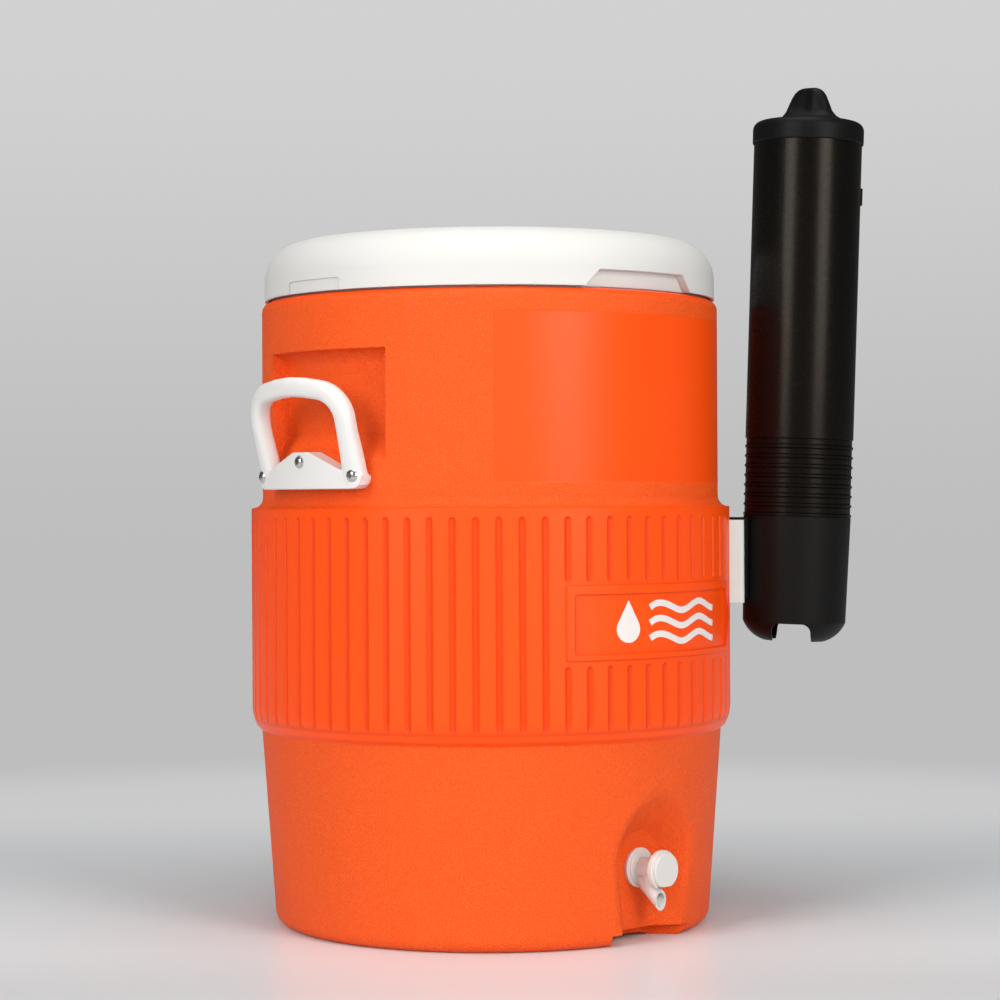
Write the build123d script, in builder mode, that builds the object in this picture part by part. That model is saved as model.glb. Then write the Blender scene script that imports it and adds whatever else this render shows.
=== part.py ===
from build123d import *
from math import asin, cos, degrees, radians, sin
import os

# Insulated drink dispenser. Millimetres, Z up, origin on the floor under the body axis.
# The spigot faces -Y, the handles are at +X and -X, the cup dispenser hangs between -Y and +X.

# ---- cooler body ----
foot_radius = 168.0
pad_radius = 60.0
underside_recess = 6.0
base_radius = 179.2
base_round = 12.0
waist_radius = 189.6
waist_height = 159.0
band_radius = 197.5
band_straight_from = 180.0
band_top = 340.5
upper_radius = 188.1
cove = 8.5
body_top = 509.0
shoulder_round = 8.0
shell_wall = 3.5
neck_radius = 170.2

# ---- flutes of the band ----
flute_pitch = 360.0 / 70
flute_width = 5.2
flute_depth = 2.0
flute_low = 168.6
flute_high = 333.6
flute_split_low = 219.5
flute_split_high = 283.8
split_pairs = 6

# ---- label panel ----
panel_mid = 252.35
panel_width = 190.8
panel_height = 57.3
panel_rise = 1.5
panel_corner = 1.5
window_width = 178.8
window_height = 46.0
window_sink = 0.5
print_thickness = 0.4

# ---- inner tank ----
tank_floor = 36.0
tank_rim = 512.0
tank_floor_radius = 151.5
tank_rim_radius = 167.0
tank_wall = 2.5
tank_corner = 15.0
rim_flange_radius = 176.0
rim_flange = 3.0

# ---- handle and its pocket ----
handle_turn = -2.0
pocket_floor = 173.5
pocket_top = 463.7
pocket_low = 374.0
pocket_cove = 12.0
pocket_reach = 21.3
handle_half = 62.0
handle_low = 355.0
handle_top = 441.0
plate_radius = 204.0
plate_top = 369.0
plate_peak = 384.0
grip_thickness = 15.0
grip_outer = 219.5
grip_bar = 16.0
grip_leg = 17.5
handle_screw_side = 54.0
handle_screw_low = 365.6
handle_screw_high = 376.5
screw_head = 9.8
screw_shank = 4.0

# ---- lid ----
lid_radius = 185.7
lid_low = 510.0
lid_top = 557.0
lid_corner = 30.0
lid_dish = 3.0
lid_wall = 3.0
lid_flange_low = 514.0
lid_flange = 2.5
plug_radius = 160.5
plug_low = 496.0
notch_depth = 7.0
notch_height = 13.0
notch_half_low = 60.5
notch_half_high = 44.9
scallop_half = 32.0
scallop_depth = 0.9
lid_turn = -4.3

# ---- spigot alcove and spigot ----
spigot_height = 57.0
alcove_seat = 159.5
alcove_seat_half = 27.0
alcove_seat_low = 14.0
alcove_mouth = 190.0
alcove_mouth_half = 53.1
alcove_mouth_height = 68.3
alcove_inner_round = 8.0
alcove_outer_round = 9.0
alcove_lift = 9.0
alcove_undercut = 12.0
spigot_hole = 10.5
gasket = 1.5
spigot_flange_radius = 15.7
spigot_hub_radius = 13.0
spigot_flange = 4.0
shank_radius = 10.0
shank_bore = 6.0
shank_end = 132.0
seat_bore = 4.4
barrel_radius = 8.2
barrel_end = 182.0
chamber_radius = 6.6
spout_radius = 6.4
spout_bore = 4.6
stem_radius = 2.0
stem_gap = 0.05
button_radius = 15.5
button_rear = 183.2
button_back = 186.0
button_step = 187.8
button_front = 191.0
button_face_radius = 13.8
tank_pad = 148.0
mouth_height = 33.2
mouth_front = 184.0

# ---- cup dispenser ----
dispenser_angle = -45.0
lean = 2.0
axis_at_low = 252.0
axis_low = 252.0
tube_radius = 44.6
tube_bore = 41.7
rib_radius = 43.7
rib_low = 331.4
rib_high = 395.6
rib_count = 8
rib_pitch = 8.0
rib_width = 2.0
tube_top = 655.0
base_radius_top = 44.3
base_radius_low = 42.4
base_corner = -7.5
base_bottom = 230.0
slot_width = 32.0
slot_turn = -11.3
socket_depth = 12.0
cap_radius = 45.9

# ---- bracket and rail ----
bracket_low = 261.0
bracket_high = 329.0
bracket_half = 29.0
bracket_face = 208.0
slot_back = 200.8
slot_front = 204.9
slot_half = 24.0
slot_mouth = 16.0
slide_gap = 0.05

# ---- frames of reference for the cup dispenser ----
out_x = cos(radians(dispenser_angle))
out_y = sin(radians(dispenser_angle))
radial_floor = Plane(origin=(0, 0, 0), x_dir=(out_x, out_y, 0), z_dir=(0, 0, 1))
lean_sin = sin(radians(lean))
lean_cos = cos(radians(lean))
tube_frame = Plane(
    origin=(out_x * axis_at_low, out_y * axis_at_low, axis_low),
    x_dir=(out_x * lean_cos, out_y * lean_cos, -lean_sin),
    z_dir=(out_x * lean_sin, out_y * lean_sin, lean_cos),
)
tube_section = Plane(origin=tube_frame.origin, x_dir=tube_frame.x_dir, z_dir=-tube_frame.y_dir)
tube_axis = Axis(tube_frame.origin, tube_frame.z_dir)

os.makedirs("parts", exist_ok=True)


def save(piece, name):
    """Label one finished piece and write its STEP file."""
    piece.part.label = name
    export_step(piece.part, f"parts/{name}.step")


# ---- small shapes shared by several pieces ----
def ring(r_in, r_out, low, high):
    """Upright ring between two radii and two heights, round the body axis."""
    with BuildPart() as shape:
        with BuildSketch(Plane.XY.offset(low)):
            Circle(r_out)
            Circle(r_in, mode=Mode.SUBTRACT)
        extrude(amount=high - low)
    return shape.part


def pocket_shape(grow):
    """Finger pocket behind the +X handle with a coved roof, its walls moved outwards by grow."""
    floor = pocket_floor - grow
    roof = pocket_top + grow
    low = pocket_low - grow
    reach = pocket_reach + degrees(grow / pocket_floor)
    side = radians(-reach)
    with BuildPart() as shape:
        start = Plane(origin=(0, 0, 0), x_dir=(cos(side), sin(side), 0), z_dir=(sin(side), -cos(side), 0))
        with BuildSketch(start):
            with BuildLine():
                Polyline((floor + pocket_cove, roof), (230, roof), (230, low), (190, low), (floor, low + 24))
                Line((floor, low + 24), (floor, roof - pocket_cove))
                RadiusArc((floor, roof - pocket_cove), (floor + pocket_cove, roof), pocket_cove)
            make_face()
        revolve(axis=Axis.Z, revolution_arc=2 * reach)
        with BuildSketch(Plane.YZ.offset(120)):
            Polygon(
                (grow - 50, 340),
                (grow - 50, pocket_low - grow - 1),
                (grow - 13, 387 - grow),
                (13 - grow, 387 - grow),
                (50 - grow, pocket_low - grow - 1),
                (50 - grow, 340),
                align=None,
            )
        extrude(amount=120, mode=Mode.SUBTRACT)
    return shape.part


def alcove_shape(grow):
    """Arched recess that holds the spigot, its walls moved inwards by grow."""
    sections = (
        (alcove_seat - grow, alcove_seat_half + grow, alcove_seat_low + grow, spigot_height),
        (alcove_mouth, alcove_mouth_half + grow, alcove_mouth_half + grow, alcove_mouth_height),
    )
    with BuildPart() as shape:
        for depth, half, half_low, centre in sections:
            with BuildSketch(Plane.XZ.offset(depth)):
                with BuildLine():
                    Polyline((-half, centre), (-half_low, -6), (half_low, -6), (half, centre))
                    ThreePointArc((half, centre), (0, centre + half), (-half, centre))
                make_face()
        loft(ruled=True)
    return shape.part


def alcove_foot(grow):
    """Undercut that lifts the lower edge of the alcove off the floor."""
    back = alcove_seat - alcove_undercut - grow
    half = alcove_seat_low + alcove_undercut + grow
    mouth = alcove_mouth_half + 3 + grow
    with BuildPart() as shape:
        with BuildSketch(Plane.XY.offset(-1)):
            Polygon(
                (-half, -back),
                (-mouth, -alcove_mouth),
                (mouth, -alcove_mouth),
                (half, -back),
                align=None,
            )
        extrude(amount=1 + alcove_lift + grow)
    return shape.part


def notch_shape(grow):
    """Finger notch at the front of the lid skirt, its walls moved inwards by grow."""
    top = lid_low + notch_height + grow
    with BuildPart() as shape:
        with BuildSketch(Plane.XZ.offset(150)):
            Polygon(
                (-notch_half_low - grow, lid_low - 4),
                (notch_half_low + grow, lid_low - 4),
                (notch_half_high + grow, top),
                (-notch_half_high - grow, top),
                align=None,
            )
        extrude(amount=50)
        add(ring(lid_radius - notch_depth - grow, lid_radius + 10, 490, 540), mode=Mode.INTERSECT)
    return shape.part


def screw_shape(head_radius, head_height, length, sunk):
    """Screw along -Z with its bearing plane at the origin; sunk turns the dome into a cone."""
    shank = screw_shank / 2
    with BuildPart() as shape:
        with BuildSketch(Plane.XZ):
            with BuildLine():
                if sunk:
                    Polyline((0, 0), (head_radius, 0), (shank, -head_height), (shank, -length))
                    Polyline((shank, -length), (0, -length), (0, 0))
                else:
                    dome = (head_radius * 0.74, head_height * 0.74)
                    Polyline((0, head_height), (0, -length), (shank, -length), (shank, 0), (head_radius, 0))
                    Line((head_radius, 0), (head_radius, 0.8))
                    ThreePointArc((head_radius, 0.8), dome, (1.4, head_height))
                    Line((1.4, head_height), (0, head_height))
            make_face()
        revolve(axis=Axis.Z)
        if not sunk:
            with BuildSketch(Plane.XY.offset(head_height)):
                Rectangle(4.6, 1.0)
                Rectangle(1.0, 4.6)
            extrude(amount=-1.4, mode=Mode.SUBTRACT)
    return shape.part


def handle_screw_planes():
    """Seats of the six handle screws on the face of the two handle plates."""
    side = degrees(asin(handle_screw_side / plate_radius))
    seats = []
    holes = ((-side, handle_screw_low), (0, handle_screw_high), (side, handle_screw_low))
    for turn in (handle_turn, 180 + handle_turn):
        for angle, height in holes:
            c = cos(radians(angle + turn))
            s = sin(radians(angle + turn))
            seats.append(Plane(origin=(plate_radius * c, plate_radius * s, height), z_dir=(c, s, 0)))
    return seats


def bracket_screw_planes():
    """Seats of the four bracket screws on the floor of the bracket slot."""
    seats = []
    for height in (278.0, 314.0):
        for side in (-14.0, 14.0):
            x = out_x * slot_back - out_y * side
            y = out_y * slot_back + out_x * side
            seats.append(Plane(origin=(x, y, height), z_dir=(out_x, out_y, 0)))
    return seats


handle_seats = handle_screw_planes()
bracket_seats = bracket_screw_planes()


# ---- solid outline of the cooler body ----
with BuildPart() as envelope:
    with BuildSketch(Plane.XZ):
        with BuildLine():
            Polyline(
                (0, body_top),
                (0, 0),
                (pad_radius, 0),
                (pad_radius + 5, underside_recess),
                (145, underside_recess),
                (150, 0),
                (foot_radius, 0),
            )
            ThreePointArc((foot_radius, 0), (175.9, 3.5), (base_radius, base_round))
            Polyline((base_radius, base_round), (waist_radius, waist_height), (193.6, waist_height + 3.5))
            ThreePointArc((193.6, waist_height + 3.5), (196.5, 170.5), (band_radius, band_straight_from))
            Polyline(
                (band_radius, band_straight_from),
                (band_radius, band_top - 1),
                (band_radius - 0.6, band_top),
            )
            ThreePointArc(
                (band_radius - 0.6, band_top),
                (upper_radius + 2.6, band_top + 2.4),
                (upper_radius, band_top + cove),
            )
            Line((upper_radius, band_top + cove), (upper_radius, body_top - shoulder_round))
            RadiusArc(
                (upper_radius, body_top - shoulder_round),
                (upper_radius - shoulder_round, body_top),
                -shoulder_round,
            )
            Line((upper_radius - shoulder_round, body_top), (0, body_top))
        make_face()
    revolve(axis=Axis.Z)

# ---- the same outline with the spigot alcove sunk in and its edges rounded ----
with BuildPart() as body_blank:
    add(envelope.part)
    add(alcove_shape(0), mode=Mode.SUBTRACT)
    seat_edges = body_blank.edges().filter_by(
        lambda e: abs(e.center().X) < 60 and abs(e.center().Y + alcove_seat) < 0.3 and e.center().Z > 8
    )
    fillet(seat_edges, alcove_inner_round)
    rim_edges = body_blank.edges().filter_by(
        lambda e: e.length > 10
        and abs(e.center().X) < 60
        and e.center().Y < -173
        and 14 < e.center().Z < 130
    )
    fillet(rim_edges, alcove_outer_round)
    add(alcove_foot(0), mode=Mode.SUBTRACT)

# ---- space inside the shell wall, later filled with foam ----
with BuildPart() as cavity:
    with BuildSketch(Plane.XZ):
        Polygon(
            (0, shell_wall),
            (pad_radius - 2, shell_wall),
            (pad_radius + 3, underside_recess + shell_wall),
            (147, underside_recess + shell_wall),
            (152, shell_wall),
            (foot_radius - 1, shell_wall),
            (base_radius - shell_wall, base_round + 0.5),
            (waist_radius - shell_wall, waist_height + 1),
            (190.6, waist_height + 6.5),
            (band_radius - shell_wall, band_straight_from),
            (band_radius - shell_wall, band_top - 6),
            (upper_radius - shell_wall, band_top + 4.5),
            (upper_radius - shell_wall, body_top - shoulder_round),
            (upper_radius - shoulder_round, body_top - shell_wall),
            (0, body_top - shell_wall),
            align=None,
        )
    revolve(axis=Axis.Z)
    add(pocket_shape(3.2), rotation=(0, 0, handle_turn), mode=Mode.SUBTRACT)
    add(pocket_shape(3.2), rotation=(0, 0, 180 + handle_turn), mode=Mode.SUBTRACT)
    add(alcove_shape(3.2), mode=Mode.SUBTRACT)
    add(alcove_foot(3.2), mode=Mode.SUBTRACT)
    with Locations(*handle_seats):
        with Locations((0, 0, -22)):
            Cylinder(6.0, 20, mode=Mode.SUBTRACT)
    with Locations(*bracket_seats):
        with Locations((0, 0, -11)):
            Cylinder(5.0, 14, mode=Mode.SUBTRACT)

# ---- outer shell ----
flute_radius = ((flute_width / 2) ** 2 + flute_depth ** 2) / (2 * flute_depth)


def flute_cutter(low, high):
    """Round-ended cutter for one flute, ready to be turned round the body axis."""
    half = flute_width / 2
    reach = band_radius + flute_radius - flute_depth
    with BuildPart() as shape:
        with Locations((reach, 0, (low + high) / 2)):
            Cylinder(flute_radius, high - low - 2 * half)
        with Locations((reach, 0, low + half), (reach, 0, high - half)):
            Sphere(flute_radius)
    return shape.part


full_turns = []
split_turns = []
for step in range(70):
    turn = -90 + (step + 0.5) * flute_pitch
    if step < split_pairs or step >= 70 - split_pairs:
        split_turns.append(turn)
    else:
        full_turns.append(turn)

# ---- raised label frame and the sunk window in it ----
with BuildPart() as label_frame:
    with BuildSketch(Plane.XZ.offset(150)):
        with Locations((0, panel_mid)):
            RectangleRounded(panel_width, panel_height, panel_corner)
    extrude(amount=60)
    add(ring(upper_radius, band_radius + panel_rise, 200, 300), mode=Mode.INTERSECT)

with BuildPart() as label_window:
    with BuildSketch(Plane.XZ.offset(150)):
        with Locations((0, panel_mid - 1.3)):
            RectangleRounded(window_width, window_height, panel_corner)
    extrude(amount=60)
    add(ring(band_radius - window_sink, band_radius + 10, 200, 300), mode=Mode.INTERSECT)

# ---- shell: flutes, label, pockets, alcove and holes ----
with BuildPart() as outer_shell:
    add(body_blank.part)
    long_flute = flute_cutter(flute_low, flute_high)
    for turn in full_turns:
        add(long_flute, rotation=(0, 0, turn), mode=Mode.SUBTRACT, clean=False)
    for low, high in ((flute_low, flute_split_low), (flute_split_high, flute_high)):
        short_flute = flute_cutter(low, high)
        for turn in split_turns:
            add(short_flute, rotation=(0, 0, turn), mode=Mode.SUBTRACT, clean=False)
    add(label_frame.part)
    add(label_window.part, mode=Mode.SUBTRACT)
    add(pocket_shape(0), rotation=(0, 0, handle_turn), mode=Mode.SUBTRACT)
    add(pocket_shape(0), rotation=(0, 0, 180 + handle_turn), mode=Mode.SUBTRACT)
    add(cavity.part, mode=Mode.SUBTRACT)
    with Locations((0, 0, body_top)):
        Cylinder(neck_radius, 40, mode=Mode.SUBTRACT)
    with Locations(Plane(origin=(0, -alcove_seat, spigot_height), z_dir=(0, -1, 0))):
        Cylinder(spigot_hole, 20, mode=Mode.SUBTRACT)
    with Locations(*handle_seats):
        with Locations((0, 0, -14)):
            Cylinder(screw_shank / 2 + 0.02, 20.4, mode=Mode.SUBTRACT)
    with Locations(*bracket_seats):
        with Locations((0, 0, -7)):
            Cylinder(screw_shank / 2 + 0.02, 18.4, mode=Mode.SUBTRACT)
save(outer_shell, "outer_shell")

# ---- printed emblem in the label window: a drop beside three waves ----
with BuildPart() as panel_emblem:
    with BuildSketch(Plane.XZ.offset(150)):
        with Locations((-45, panel_mid - 5.5)):
            Circle(10.5)
            Polygon((-9.5, 4.4), (9.5, 4.4), (0, 22.0), align=None)
        for row in (-12.0, 0.0, 12.0):
            height = panel_mid - 1.3 + row
            with BuildLine(mode=Mode.PRIVATE) as wave:
                Spline(
                    (-24, height),
                    (-12, height + 3.2),
                    (0, height),
                    (12, height - 3.2),
                    (24, height),
                    (36, height + 3.2),
                    (48, height),
                    (60, height - 3.2),
                )
            trace(wave.line, line_width=5.0)
    extrude(amount=60)
    window_face = band_radius - window_sink
    add(ring(window_face, window_face + print_thickness, 200, 300), mode=Mode.INTERSECT)
save(panel_emblem, "panel_emblem")

# ---- tank outline, tank space and liner ----
with BuildPart() as liner_solid:
    with BuildSketch(Plane.XZ) as liner_section:
        foot = tank_floor_radius + tank_wall
        Polygon(
            (0, tank_floor - tank_wall),
            (foot, tank_floor - tank_wall),
            (tank_rim_radius + tank_wall, tank_rim - rim_flange),
            (rim_flange_radius, tank_rim - rim_flange),
            (rim_flange_radius, tank_rim),
            (0, tank_rim),
            align=None,
        )
        low_corner = liner_section.vertices().sort_by_distance((foot, tank_floor - tank_wall, 0))[0]
        fillet(low_corner, tank_corner + tank_wall)
    revolve(axis=Axis.Z)

with BuildPart() as tank_space:
    with BuildSketch(Plane.XZ) as space_section:
        Polygon(
            (0, tank_floor),
            (tank_floor_radius, tank_floor),
            (tank_rim_radius, tank_rim),
            (tank_rim_radius, tank_rim + 5),
            (0, tank_rim + 5),
            align=None,
        )
        inner_corner = space_section.vertices().sort_by_distance((tank_floor_radius, tank_floor, 0))[0]
        fillet(inner_corner, tank_corner)
    revolve(axis=Axis.Z)
    with Locations(Plane(origin=(0, -tank_pad - 10, spigot_height), z_dir=(0, -1, 0))):
        Cylinder(20, 20, mode=Mode.SUBTRACT)

with BuildPart() as inner_liner:
    add(liner_solid.part)
    add(tank_space.part, mode=Mode.SUBTRACT)
    with Locations(Plane(origin=(0, -tank_pad, spigot_height), z_dir=(0, -1, 0))):
        Cylinder(spigot_hole, 30, mode=Mode.SUBTRACT)
save(inner_liner, "inner_liner")

# ---- foam between shell and liner ----
with BuildPart() as foam_insulation:
    add(cavity.part)
    add(liner_solid.part, mode=Mode.SUBTRACT)
    with Locations(Plane(origin=(0, -alcove_seat, spigot_height), z_dir=(0, -1, 0))):
        Cylinder(spigot_hole, 20, mode=Mode.SUBTRACT)
save(foam_insulation, "foam_insulation")

# ---- handles: a D-shaped grip on a curved plate ----
with BuildPart() as grip_sweep:
    with BuildSketch(Plane.XZ):
        Polygon(
            (upper_radius, handle_low),
            (plate_radius, handle_low),
            (plate_radius, plate_peak - 2),
            (grip_outer, handle_top - grip_bar),
            (grip_outer, handle_top),
            (grip_outer - grip_thickness, handle_top),
            (grip_outer - grip_thickness, handle_top - grip_bar),
            (upper_radius, plate_peak),
            align=None,
        )
    revolve(axis=Axis.Z)

with BuildPart() as handle_outline:
    for x in (140.0, 230.0):
        half = handle_half * x / plate_radius
        with BuildSketch(Plane.YZ.offset(x)) as outline:
            with Locations((0, (handle_low + handle_top) / 2)):
                Rectangle(2 * half, handle_top - handle_low)
            fillet(outline.vertices().group_by(Axis.Y)[-1], 24)
            fillet(outline.vertices().group_by(Axis.Y)[0], 8)
    loft(ruled=True)

with BuildPart() as grip_opening:
    for x in (140.0, 230.0):
        half = (handle_half - grip_leg) * x / plate_radius
        with BuildSketch(Plane.YZ.offset(x)) as outline:
            Polygon(
                (-half, plate_top),
                (-10, plate_peak),
                (10, plate_peak),
                (half, plate_top),
                (half, handle_top - grip_bar),
                (-half, handle_top - grip_bar),
                align=None,
            )
            fillet(outline.vertices(), 7)
    loft(ruled=True)

with BuildPart() as handle_blank:
    add(handle_outline.part)
    add(grip_opening.part, mode=Mode.SUBTRACT)
    add(grip_sweep.part, mode=Mode.INTERSECT)

with BuildPart() as handle_right:
    add(handle_blank.part, rotation=(0, 0, handle_turn))
    with Locations(*handle_seats):
        Cylinder(screw_shank / 2 + 0.2, 60, mode=Mode.SUBTRACT)
save(handle_right, "handle_right")

with BuildPart() as handle_left:
    add(handle_right.part, rotation=(0, 0, 180))
save(handle_left, "handle_left")

with BuildPart() as handle_screws:
    screw = screw_shape(screw_head / 2, 3.0, 22.0, False)
    with Locations(*handle_seats):
        add(screw)
save(handle_screws, "handle_screws")

# ---- lid outline and the space inside it ----
with BuildPart() as lid_solid:
    with BuildSketch(Plane.XZ):
        with BuildLine():
            Polyline(
                (0, lid_low),
                (lid_radius, lid_low),
                (lid_radius, lid_top - lid_corner),
            )
            RadiusArc(
                (lid_radius, lid_top - lid_corner),
                (lid_radius - lid_corner, lid_top),
                -lid_corner,
            )
            Polyline(
                (lid_radius - lid_corner, lid_top),
                (145, lid_top),
                (133, lid_top - lid_dish),
                (0, lid_top - lid_dish),
                (0, lid_low),
            )
        make_face()
    revolve(axis=Axis.Z)

with BuildPart() as lid_space:
    with BuildSketch(Plane.XZ):
        with BuildLine():
            Polyline(
                (0, lid_low - 5),
                (lid_radius - lid_wall, lid_low - 5),
                (lid_radius - lid_wall, lid_top - lid_corner),
            )
            RadiusArc(
                (lid_radius - lid_wall, lid_top - lid_corner),
                (lid_radius - lid_corner, lid_top - lid_wall),
                lid_wall - lid_corner,
            )
            Polyline(
                (lid_radius - lid_corner, lid_top - lid_wall),
                (147, lid_top - lid_wall),
                (135, lid_top - lid_dish - lid_wall),
                (0, lid_top - lid_dish - lid_wall),
                (0, lid_low - 5),
            )
        make_face()
    revolve(axis=Axis.Z)
    add(notch_shape(2.3), rotation=(0, 0, lid_turn), mode=Mode.SUBTRACT)

# ---- lid shell with its front notch and two side scallops ----
with BuildPart() as lid_scallops:
    with BuildSketch(Plane.YZ.offset(-lid_radius - 10)):
        with Locations((0, lid_low + 2)):
            RectangleRounded(2 * scallop_half, 15, 2)
    extrude(amount=2 * lid_radius + 20)
    with BuildSketch(Plane.XY.offset(lid_low - 10)):
        Circle(lid_radius - scallop_depth)
    extrude(amount=40, mode=Mode.SUBTRACT)

with BuildPart() as lid_shell:
    add(lid_solid.part)
    add(lid_space.part, mode=Mode.SUBTRACT)
    add(notch_shape(0), rotation=(0, 0, lid_turn), mode=Mode.SUBTRACT)
    add(lid_scallops.part, rotation=(0, 0, lid_turn), mode=Mode.SUBTRACT)
save(lid_shell, "lid_shell")

# ---- inner pan of the lid ----
with BuildPart() as lid_inner_panel:
    with BuildSketch(Plane.XZ):
        Polygon(
            (0, plug_low),
            (plug_radius, plug_low),
            (plug_radius, lid_flange_low),
            (lid_radius - lid_wall, lid_flange_low),
            (lid_radius - lid_wall, lid_flange_low + lid_flange),
            (plug_radius - 2.5, lid_flange_low + lid_flange),
            (plug_radius - 2.5, plug_low + 2.5),
            (0, plug_low + 2.5),
            align=None,
        )
    revolve(axis=Axis.Z)
    add(notch_shape(2.3), rotation=(0, 0, lid_turn), mode=Mode.SUBTRACT)
save(lid_inner_panel, "lid_inner_panel")

with BuildPart() as lid_foam:
    with BuildSketch(Plane.XZ):
        Polygon(
            (0, plug_low + 2.5),
            (plug_radius - 2.5, plug_low + 2.5),
            (plug_radius - 2.5, lid_flange_low + lid_flange),
            (lid_radius, lid_flange_low + lid_flange),
            (lid_radius, lid_top),
            (0, lid_top),
            align=None,
        )
    revolve(axis=Axis.Z)
    add(lid_space.part, mode=Mode.INTERSECT)
    with BuildSketch(Plane.XY.offset(plug_low + 2.5)):
        Circle(plug_radius - 2.5)
    extrude(amount=lid_low - 5 - plug_low - 2.5)
save(lid_foam, "lid_foam")

with BuildPart() as lid_gasket:
    with BuildSketch(Plane.XZ) as gasket_section:
        with Locations((171.5, (tank_rim + lid_flange_low) / 2)):
            Rectangle(7.0, lid_flange_low - tank_rim)
    revolve(axis=Axis.Z)
save(lid_gasket, "lid_gasket")

# ---- spigot: flange, barrel, valve chamber and spout ----
spigot_axis = Axis((0, 0, spigot_height), (0, -1, 0))
spigot_section = Plane(origin=(0, 0, spigot_height), x_dir=(0, -1, 0), z_dir=(-1, 0, 0))
flange_back = alcove_seat + gasket
flange_face = flange_back + spigot_flange
seat_back = flange_face + 3.0
chamber_back = seat_back + 2.0
chamber_front = chamber_back + 7.5
wall_front = chamber_front + 2.5
spout_y = -(chamber_back + chamber_front) / 2
elbow_height = 41.5
elbow_bore = 4.2
spout_fall = (mouth_front + spout_y, elbow_height - mouth_height)
spout_plane = Plane(origin=(0, spout_y, elbow_height), z_dir=(0, -spout_fall[0], -spout_fall[1]))

with BuildPart() as spout_tube:
    with Locations(spout_plane):
        Cylinder(spout_radius, 60)
    with Locations((0, -(mouth_front + flange_face) / 2, mouth_height)):
        Box(30, mouth_front - flange_face, 50, mode=Mode.INTERSECT)

with BuildPart() as spigot_body:
    with BuildSketch(spigot_section):
        Polygon(
            (shank_end, 0),
            (shank_end, shank_radius),
            (flange_back, shank_radius),
            (flange_back, spigot_flange_radius - 0.6),
            (flange_back + 0.6, spigot_flange_radius),
            (flange_face - 2.2, spigot_flange_radius),
            (flange_face - 1.4, spigot_flange_radius - 0.8),
            (flange_face - 1.4, spigot_hub_radius),
            (flange_face - 0.6, spigot_hub_radius),
            (flange_face, spigot_hub_radius - 1.0),
            (flange_face, barrel_radius),
            (barrel_end, barrel_radius),
            (barrel_end, 0),
            align=None,
        )
    revolve(axis=spigot_axis)
    add(spout_tube.part)
    with Locations((0, spout_y, elbow_height)):
        Cylinder(spout_radius, 14, align=(Align.CENTER, Align.CENTER, Align.MIN))
        Cylinder(elbow_bore, 12, align=(Align.CENTER, Align.CENTER, Align.MIN), mode=Mode.SUBTRACT)
        Sphere(elbow_bore, mode=Mode.SUBTRACT)
    with Locations(spout_plane):
        Cylinder(spout_bore, 24, align=(Align.CENTER, Align.CENTER, Align.MIN), mode=Mode.SUBTRACT)
    with BuildSketch(spigot_section):
        Polygon(
            (shank_end, 0),
            (shank_end, shank_bore),
            (seat_back, shank_bore),
            (seat_back, seat_bore),
            (chamber_back, seat_bore),
            (chamber_back, chamber_radius),
            (chamber_front, chamber_radius),
            (chamber_front, stem_radius + stem_gap),
            (wall_front, stem_radius + stem_gap),
            (wall_front, chamber_radius),
            (barrel_end, chamber_radius),
            (barrel_end, 0),
            align=None,
        )
    revolve(axis=spigot_axis, mode=Mode.SUBTRACT)
save(spigot_body, "spigot_body")


def washer(r_in, r_out, near, far):
    """Flat ring round the spigot axis between two distances from the body axis."""
    with BuildPart() as shape:
        with BuildSketch(Plane(origin=(0, -near, spigot_height), z_dir=(0, -1, 0))):
            Circle(r_out)
            Circle(r_in, mode=Mode.SUBTRACT)
        extrude(amount=far - near)
    return shape.part


with BuildPart() as spigot_outer_gasket:
    add(washer(shank_radius, 15.0, alcove_seat, flange_back))
save(spigot_outer_gasket, "spigot_outer_gasket")

with BuildPart() as spigot_inner_gasket:
    add(washer(shank_radius, 16.0, tank_pad - gasket, tank_pad))
save(spigot_inner_gasket, "spigot_inner_gasket")

with BuildPart() as spigot_lock_nut:
    with BuildSketch(Plane(origin=(0, gasket - tank_pad, spigot_height), z_dir=(0, 1, 0))):
        RegularPolygon(17.0, 6)
        Circle(shank_radius, mode=Mode.SUBTRACT)
    extrude(amount=8.0)
save(spigot_lock_nut, "spigot_lock_nut")

# ---- push button, stem, seal and return spring ----
spring_seat = button_back + 2.0
stem_front = spring_seat + 1.5
with BuildPart() as spigot_button:
    with BuildSketch(spigot_section):
        Polygon(
            (button_back, 0),
            (button_back, barrel_radius + 0.5),
            (button_rear, barrel_radius + 0.5),
            (button_rear, button_radius - 0.6),
            (button_rear + 0.6, button_radius),
            (button_step - 0.6, button_radius),
            (button_step, button_radius - 0.6),
            (button_step, button_face_radius),
            (button_front - 0.8, button_face_radius),
            (button_front, button_face_radius - 0.8),
            (button_front, 0),
            align=None,
        )
    revolve(axis=spigot_axis)
    with Locations((0, -button_step - 5, spigot_height - 22.4)):
        Box(40, 10, 20, mode=Mode.SUBTRACT)
    with Locations((0, -button_rear, spigot_height - 17.5)):
        Box(15, 9.2, 20, mode=Mode.SUBTRACT)
    add(washer(3.2, 6.6, button_back - 1, spring_seat), mode=Mode.SUBTRACT)
    with Locations(Plane(origin=(0, -button_back, spigot_height), z_dir=(0, -1, 0))):
        Cylinder(stem_radius, 2 * (stem_front - button_back), mode=Mode.SUBTRACT)
save(spigot_button, "spigot_button")

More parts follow.
